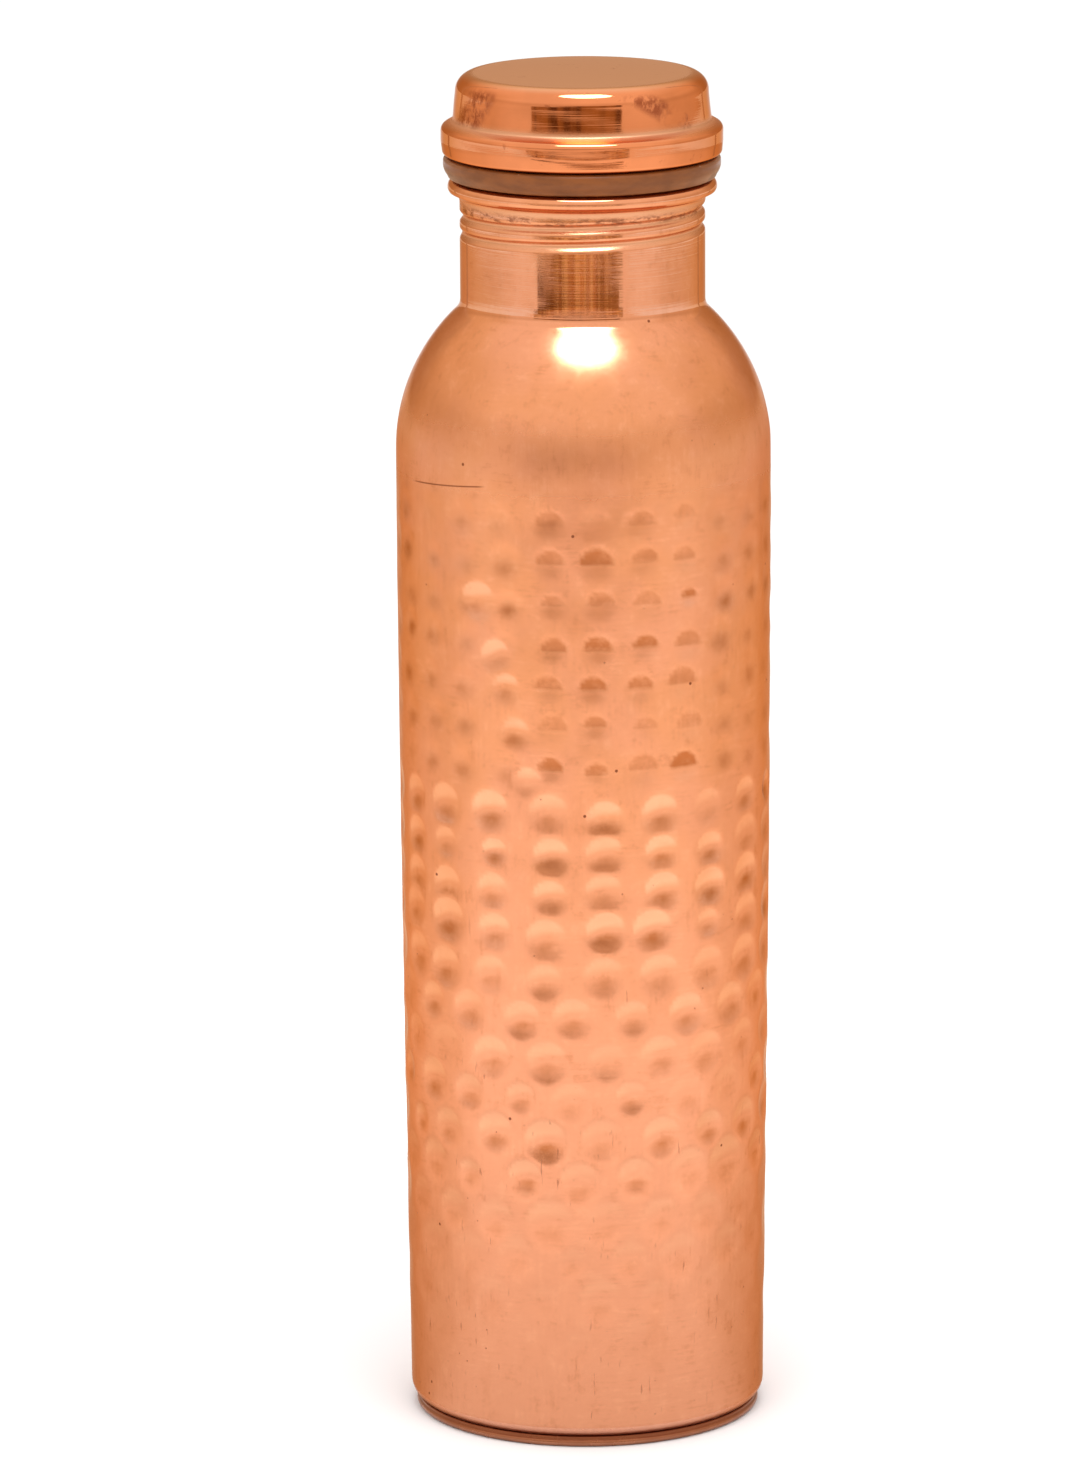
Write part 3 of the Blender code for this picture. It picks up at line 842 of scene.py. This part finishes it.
def beaten_copper(made, finish, z):
    """The barrel's clean colour: clouded, lightly grained, with painted light and shade on the blows and a
    painted sheen low down.
    """
    copper = tuple(finish.copper)
    cloud = made.noise(made.place, 38, 4, 0.55)
    pink = shifted(copper, 1, 1.015, 1.08)
    orange = shifted(copper, 0.99, 0.99, 0.93)
    body = made.mix(made.between(cloud, 0.38, 0.62), pink, orange)
    # Painted sheen: the copper is painted paler towards the foot, standing in for the brighter table that
    # the lower barrel mirrors.
    body = made.mix(made.between(z, *PAINTED_SHEEN_LOW), body, shifted(copper, 1, 1.03, 1.16))
    dull = made.noise(made.stretch((1, 1, 0.45), (0.3, 0.1, 0)), 95, 5, 0.6)
    body = made.mix(made.between(dull, 0.56, 0.78, 0, 0.30), body, shifted(copper, 0.86, 0.76, 0.66))
    # Fine upright and level polishing marks, each only in places, over a slight mottle.
    mottle = made.noise(made.place, 260, 6, 0.72)
    places = made.noise(made.place, 42, 3, 0.6)
    upright_grain = made.noise(made.stretch((1, 1, 0.10), (2, 1, 0)), 1100, 4, 0.7)
    level_grain = made.noise(made.stretch((0.10, 0.10, 1), (1, 4, 0)), 1500, 4, 0.7)
    grain = made.mix(made.between(places, 0.44, 0.58), upright_grain, level_grain)
    grain = made.plus(made.times(grain, 0.55), mottle)
    burnished_and_painted_highlight, beaten = tuple(finish.burnished_and_painted_highlight), tuple(finish.beaten)
    body = made.mix(made.between(grain, 0.79, 1.05, 0, 0.38), body, beaten)
    body = made.mix(made.between(grain, 0.76, 0.55, 0, 0.30), body, burnished_and_painted_highlight)
    # Painted light: the tone layer mixes in a painted highlight and painted shade on each mark, and the
    # stain goes where that painted shade is deepest.
    tone = made.times(made.layer("tone"), made.between(mottle, 0.25, 0.60, 0.70, 1.15))
    body = made.mix(made.between(tone, 0.03, 0.95), body, burnished_and_painted_highlight)
    body = made.mix(made.between(tone, -0.03, -0.95), body, beaten)
    return made.mix(made.between(tone, -0.60, -1.0, 0, 0.5), body, tuple(finish.stain))


def shell_tarnish_and_foot_shade(made, x, y, z):
    """Where the shell is dark: residue under the lip, painted shade along the foot, specks, scuffs, crumbs
    and one scratch.
    """
    residue = made.noise(made.stretch((1, 1, 2.6)), 420, 4, 0.7)
    stain = made.times(made.within(z, *RESIDUE), made.between(residue, 0.46, 0.62))
    level = made.maths("SUBTRACT", z, made.plus(SCRATCH_HEIGHT, made.times(x, SCRATCH_SLOPE)))
    scratch = made.between(made.maths("ABSOLUTE", level), 0.22 * MM, 0.06 * MM)
    scratch = made.times(scratch, made.within(x, *SCRATCH_ENDS), made.between(y, 0, -4 * MM))
    scuffs = made.between(made.noise(made.stretch((1, 1, 0.16), (3, 5, 1)), 1300, 2, 0.5), 0.66, 0.74)
    where = made.between(made.noise(made.place, 70, 3, 0.6), 0.50, 0.62)
    scuffs = made.times(scuffs, where, made.between(z, *SCUFFS_FADE))
    gathered = made.between(made.noise(made.place, 60, 4, 0.7), 0.53, 0.64)
    crumbs = made.times(made.specks(520, 0.13, 0.30), gathered)
    scratch = made.most(scratch, made.times(scuffs, 0.55), made.times(crumbs, 0.8))
    # Painted shade: the sheet is darkened towards its bottom edge, where it turns under.
    foot = made.between(z, *PAINTED_FOOT_SHADE)
    specks = made.specks(140, 0.055, 0.35)
    return made.most(made.times(stain, 0.65), made.times(foot, 0.50), made.times(specks, 0.8),
                     made.times(scratch, 0.7))


def hammered_copper(scene):
    finish = scene.bottle_finish
    made = polished_metal("hammered_copper", finish)
    x, y, z = made.split(made.place)
    body = beaten_copper(made, finish, z)
    hollow = made.layer("hollow")
    # Painted reflection: paler copper in the groove and under the lip softens the red copper mirrored there.
    body = made.mix(hollow, body, tuple(finish.painted_hollow_reflection))
    dark = shell_tarnish_and_foot_shade(made, x, y, z)
    made.give("Base Color", made.mix(dark, body, tuple(finish.tarnish_and_foot_shade)))

    neck = made.between(z, *NECK_POLISH)
    smear = made.noise(made.stretch((1, 1, 0.25)), 300, 3, 0.6)
    made.give("Roughness", made.plus(made.between(neck, 0, 1, finish.satin, finish.roughness),
                                     made.times(made.within(z, *WORN_SHOULDER), 0.14),
                                     made.between(smear, 0.45, 0.75, 0, 0.06),
                                     made.times(dark, 0.25), made.times(hollow, 0.30)))
    fine = made.noise(made.stretch((26, 26, 3600)), 1, 3, 0.6)
    coarse = made.noise(made.stretch((9, 9, 900)), 1, 2, 0.5)
    barrel_lines = made.noise(made.stretch((60, 60, 2200)), 1, 2, 0.5)
    lines = made.times(neck, made.times(made.plus(fine, coarse), 0.75))
    made.relief(made.plus(lines, made.times(barrel_lines, 0.25)), TURNING_LINES)
    return made.material


def cap_smudges(made, x, y, z):
    """Red-brown smudges that lean away from each other on the side wall, left and right of the front."""
    grime = made.noise(made.stretch((1, 1, 0.7)), 420, 6, 0.75)
    patch = made.noise(made.place, 130, 3, 0.6)
    rise = made.maths("SUBTRACT", z, SMUDGE_HEIGHT)
    left = made.plus(made.maths("SUBTRACT", x, made.times(rise, 0.5)), 20.5 * MM)
    left = made.between(made.maths("ABSOLUTE", left), 1.2 * MM, 3.4 * MM)
    right = made.maths("SUBTRACT", made.plus(x, made.times(rise, 1.5)), 16.2 * MM)
    right = made.between(made.maths("ABSOLUTE", right), 1.4 * MM, 4.4 * MM)
    right = made.times(made.maths("SUBTRACT", 1.0, right), made.between(x, 21.5 * MM, 20.0 * MM))
    patches = made.times(made.most(made.maths("SUBTRACT", 1.0, left), right), made.within(z, *CAP_SIDE),
                         made.between(y, -3 * MM, -8 * MM))
    return made.times(made.between(grime, 0.40, 0.56), made.between(patch, 0.34, 0.48), patches)


def cap_copper(scene):
    finish = scene.bottle_finish
    made = polished_metal("spun_copper", finish)
    x, y, z = made.split(made.place)
    across = made.off_axis(x, y)
    light, deep = tones(tuple(finish.cap_copper), 0.06)
    body = made.mix(made.between(made.noise(made.place, 60, 4, 0.55), 0.38, 0.62), light, deep)
    hollow = made.layer("hollow")
    # Painted reflection: paler copper in the step's corner softens the red copper mirrored there.
    body = made.mix(hollow, body, tuple(finish.painted_hollow_reflection))
    crown = made.between(z, *CAP_CROWN)
    # Partly brushed copper and partly painted reflection: the crown is painted paler, like the pale backdrop
    # it mirrors.
    body = made.mix(made.times(made.between(across, *CROWN_PAINTED_SHEEN), crown), body, tuple(finish.brushed_top_and_painted_sheen))

    clouds = made.between(made.noise(made.place, 210, 5, 0.7), 0.62, 0.72)
    dark = made.most(made.times(cap_smudges(made, x, y, z), 0.75),
                     made.times(made.specks(170, 0.05, 0.30), 0.6), made.times(clouds, 0.35))
    made.give("Base Color", made.mix(dark, body, tuple(finish.smudge)))
    on_top = made.times(made.between(across, *CROWN_BRUSHED), crown)
    made.give("Roughness", made.plus(finish.roughness, made.times(dark, 0.3), made.times(hollow, 0.34),
                                     made.times(on_top, 0.26)))
    lines = made.noise(made.stretch((26, 26, 3800)), 1, 3, 0.6)
    rings = made.add("ShaderNodeCombineXYZ")
    made.fill(rings.inputs[0], made.times(across, 3200))
    ring_lines = made.noise(rings.outputs[0], 1, 3, 0.6)
    beside = made.maths("SUBTRACT", 1.0, on_top)
    made.relief(made.plus(made.times(on_top, ring_lines), made.times(beside, lines)), TURNING_LINES)
    return made.material


def plain_copper(scene):
    finish = scene.bottle_finish
    made = Finish("drawn_copper")
    made.give("Metallic", 1)
    x, y, z = made.split(made.place)
    across = made.off_axis(x, y)
    light, deep = tones(tuple(finish.plain_copper), 0.10)
    cloud = made.noise(made.place, 90, 5, 0.6)
    body = made.mix(made.between(cloud, 0.36, 0.64), light, deep)
    # The seam band is a stain; the outer rim, under the shell's edge, gets painted shade.
    edge = made.times(made.between(across, 30 * MM, 32 * MM), 0.62)
    seam_stain_and_rim_shade = made.most(made.times(made.within(z, *SEAM), 0.78), edge)
    made.give("Base Color", made.mix(seam_stain_and_rim_shade, body, tuple(finish.tarnish_and_foot_shade)))
    made.give("Roughness", made.between(cloud, 0.3, 0.7, 0.22, 0.38))
    rings = made.add("ShaderNodeCombineXYZ")
    made.fill(rings.inputs[0], made.times(across, 2600))
    made.fill(rings.inputs[2], made.times(z, 2600))
    made.relief(made.noise(rings.outputs[0], 1, 3, 0.6), 0.015 * MM)
    return made.material


def silicone(scene):
    made = Finish("translucent_silicone")
    light, deep = tones(tuple(scene.bottle_finish.silicone), 0.16)
    cloud = made.noise(made.stretch((1, 1, 2.5)), 160, 4, 0.6)
    body = made.mix(made.between(cloud, 0.35, 0.65), light, deep)
    bubbles = made.times(made.specks(260, 0.07, 0.25), 0.5)
    made.give("Base Color", made.mix(bubbles, body, tuple(scene.bottle_finish.bubble)))
    made.give("Roughness", made.between(cloud, 0.3, 0.7, 0.28, 0.42))
    made.give("Transmission Weight", 0.25)
    made.give("IOR", 1.41)
    made.relief(made.noise(made.place, 900, 3, 0.6), 0.01 * MM, 0.8)
    return made.material


# ---------------------------------------------------------------- studio

def matte(name, tint, mottle):
    """A painted surface with a slight mottle."""
    made = Finish(name)
    light, deep = tones(tuple(tint), mottle)
    made.give("Base Color", made.mix(made.noise(made.place, 3, 3, 0.5), light, deep))
    made.give("Roughness", 0.9)
    made.give("Specular IOR Level", 0.1)
    return made.material


def glowing(name, dark, light, scale):
    """A card that gives its own light, mottled or streaked between two tones."""
    made = Finish(name)
    shade = made.between(made.noise(made.stretch(scale), 1, 3, 0.6), 0.38, 0.62)
    made.shine(made.mix(shade, tuple(dark), tuple(light)))
    return made.material


def dark_room(stage):
    """The room past the table: upright streaks of warm wood, nearly dark near the floor."""
    made = Finish("dark_room")
    wood_light = tuple(stage.room_light)
    broad = made.between(made.noise(made.stretch((5, 1, 1), (1.7, 0, 0)), 1, 2, 0.5), 0.38, 0.60)
    fine = made.between(made.noise(made.stretch((26, 1, 2), (4.2, 0, 0)), 1, 2, 0.6), 0.50, 0.58)
    wood = made.mix(broad, shifted(wood_light, 0.38, 0.22, 0.12), shifted(wood_light, 0.72, 0.50, 0.36))
    wood = made.mix(fine, wood, wood_light)
    ragged = made.times(made.noise(made.stretch((11, 1, 60)), 1, 3, 0.6), 12 * MM)
    low = made.between(made.plus(made.split(made.place)[2], ragged), 34 * MM, 29 * MM)
    made.shine(made.mix(made.times(low, 0.88), wood, tuple(stage.room_dark)))
    return made.material


def studio_object(name, data):
    item = bpy.data.objects.new(name, data)
    bpy.context.scene.collection.objects.link(item)
    return item


def panel(name, corners, faces, material, seen=False):
    """A flat card of the studio. It only shows in reflections unless it is to be seen."""
    mesh = bpy.data.meshes.new(name)
    mesh.from_pydata(corners, [], faces)
    mesh.materials.append(material)
    card = studio_object(name, mesh)
    if not seen:
        card.visible_camera = card.visible_diffuse = card.visible_shadow = False


def upright(name, start, end, lift, height, material):
    """A card that stands from one point of the table to another, lifted off it."""
    corners = [(*start, lift), (*end, lift), (*end, lift + height), (*start, lift + height)]
    panel(name, corners, [(0, 1, 2, 3)], material)


def soft_world(stage):
    """Soft white light all round, which the copper mirrors dimmer and warmer at the sides and low down."""
    world = bpy.data.worlds.new("studio")
    bpy.context.scene.world = world
    world.use_nodes = True
    made = Nodes(world.node_tree)
    background = made.tree.nodes["Background"]
    _, along, up = made.split(made.add("ShaderNodeTexCoord").outputs["Generated"])
    white = (1, 1, 1)
    horizon = made.mix(made.between(up, 0.14, 0.42), tuple(stage.horizon), white)
    horizon = made.mix(made.between(up, 0.14, -0.12), horizon, tuple(stage.below))
    beside = made.times(made.between(along, -0.50, 0.05), made.between(up, 0.85, 0.50))
    tinted = made.mix(beside, horizon, made.mix(1.0, horizon, tuple(stage.side), "MULTIPLY"))
    behind = made.times(made.between(along, 0.55, 0.85), made.between(up, 0.60, 0.30))
    tinted = made.mix(behind, tinted, tuple(stage.behind))
    tinted = made.mix(1.0, tinted, tuple(stage.glow), "MULTIPLY")
    mirrored = made.add("ShaderNodeLightPath").outputs["Is Glossy Ray"]
    made.fill(background.inputs["Color"], made.mix(mirrored, white, tinted))
    made.fill(background.inputs["Strength"], stage.sky)


# How bright the mirrored table is: the share of SHEEN_REACH from the axis, and the level there.
SHEEN_REACH = 1.2
SHEEN_LEVELS = ((0.030, 0.80), (0.075, 0.90), (0.130, 0.98), (0.200, 1.14), (0.290, 1.18), (0.400, 1.10),
                (0.560, 1.04), (0.800, 1.00), (1.0, 0.90))


def table_sheen(stage):
    """The lit table as the copper mirrors it: brightest a hand's width out, dimmer far off and beside."""
    made = Finish("table_sheen")
    x, y, _ = made.split(made.place)
    across = made.off_axis(x, y)
    stops = [(place, tuple(stage.sheen * level * c for c in stage.glow)) for place, level in SHEEN_LEVELS]
    front = made.ramp(made.maths("DIVIDE", across, SHEEN_REACH), stops)
    side = made.mix(1.0, front, tuple(stage.side), "MULTIPLY")
    facing = made.maths("DIVIDE", y, across)
    made.shine(made.mix(made.between(facing, -0.55, 0.10), front, side), 1.25)
    return made.material


TABLE_SIDE = 3.0
TABLE_EDGE = -1.15


def sheen_ring(material):
    """A flat ring on the table, from just outside the bottle out to the table's edge."""
    corners = 60
    turns = [2 * pi * i / corners for i in range(corners)]
    inner = [(0.0375 * cos(a), 0.0375 * sin(a)) for a in turns]
    outer = [(1.5 * cos(a), max(TABLE_EDGE, 1.5 * sin(a))) for a in turns]
    beside = [(i + 1) % corners for i in range(corners)]
    faces = [(i, j, corners + j, corners + i) for i, j in enumerate(beside)]
    panel("table_sheen", [(*point, 0.3 * MM) for point in inner + outer], faces, material)


class BOTTLE_OT_stage(Operator):
    """Set up the floor, the light and the camera"""
    bl_idname = "bottle.stage"
    bl_label = "Studio"

    def execute(self, context):
        stage = context.scene.bottle_stage
        floor = [(-TABLE_SIDE, TABLE_EDGE, 0), (TABLE_SIDE, TABLE_EDGE, 0),
                 (TABLE_SIDE, 2 * TABLE_SIDE, 0), (-TABLE_SIDE, 2 * TABLE_SIDE, 0)]
        panel("floor", floor, [(0, 1, 2, 3)], matte("pale_table", stage.floor, 0.01), seen=True)
        gloom = glowing("gloom", stage.gloom_dark, stage.gloom_light, (5, 1, 1))
        room = dark_room(stage)
        gap = glowing("gap", stage.gap_dark, stage.gap_light, (2, 2, 2))
        # Each card: where it starts and ends on the table, how far it is lifted, and its height.
        upright("room_low", (-1.2, TABLE_EDGE), (0.88, TABLE_EDGE), 0, 0.056, room)
        upright("room_high", (-1.2, TABLE_EDGE), (0.80, TABLE_EDGE), 0.235, 0.115, gloom)
        upright("room_mid", (-1.2, TABLE_EDGE), (0.88, TABLE_EDGE), 0.072, 0.024, gloom)
        upright("ledge", (-0.165, -0.19), (0.12, -0.19), 0.185, 0.007, gloom)
        upright("left_gap", (-0.62, 0.66), (-0.585, 0.70), 0, 1.2, gap)
        upright("right_gap", (0.585, 0.70), (0.62, 0.66), 0, 1.2, gap)
        sheen_ring(table_sheen(stage))
        soft_world(stage)

        lamp = bpy.data.lights.new("overhead_lamp", "AREA")
        lamp.shape = "ELLIPSE"
        lamp.size = 0.48
        lamp.size_y = 0.40
        lamp.energy = stage.lamp
        hung = studio_object("overhead_lamp", lamp)
        hung.location = (0.03, -0.30, 1.0)
        hung.visible_camera = False

        camera = bpy.data.cameras.new("camera")
        camera.sensor_width = 36
        camera.lens = stage.lens
        camera.clip_start = 0.01
        camera.clip_end = 100
        stand = studio_object("camera", camera)
        turn = Matrix.Rotation(stage.yaw, 4, "Z") @ Matrix.Rotation(pi / 2 - stage.pitch, 4, "X")
        turn = turn @ Matrix.Rotation(stage.roll, 4, "Z")
        stand.matrix_world = Matrix.Translation((0, -stage.camera_distance, stage.camera_height)) @ turn
        context.scene.camera = stand
        context.scene.view_settings.view_transform = "Standard"
        return {"FINISHED"}


# ---------------------------------------------------------------- add-on

class BOTTLE_PT_sidebar(Panel):
    """Lists the bottle's pieces and their sizes"""
    bl_idname = "BOTTLE_PT_sidebar"
    bl_label = "Copper Bottle"
    bl_space_type = "VIEW_3D"
    bl_region_type = "UI"
    bl_category = "Bottle"

    def draw(self, context):
        for operator in OPERATORS:
            self.layout.operator(operator.bl_idname)
        for name, group in GROUPS.items():
            box = self.layout.box()
            for field in group.__annotations__:
                box.prop(getattr(context.scene, name), field)


OPERATORS = (BOTTLE_OT_body_shell, BOTTLE_OT_base_plate, BOTTLE_OT_gasket, BOTTLE_OT_cap_plug,
             BOTTLE_OT_cap_shell, BOTTLE_OT_stage)
CLASSES = (*GROUPS.values(), *OPERATORS, BOTTLE_PT_sidebar)


def register():
    for item in CLASSES:
        bpy.utils.register_class(item)
    for name, group in GROUPS.items():
        setattr(bpy.types.Scene, name, PointerProperty(type=group))


def unregister():
    for name in GROUPS:
        delattr(bpy.types.Scene, name)
    for item in reversed(CLASSES):
        bpy.utils.unregister_class(item)


def main():
    register()
    bpy.ops.bottle.body_shell()
    bpy.ops.bottle.base_plate()
    bpy.ops.bottle.gasket()
    bpy.ops.bottle.cap_plug()
    bpy.ops.bottle.cap_shell()
    bpy.ops.bottle.stage()


if __name__ == "__main__":
    main()
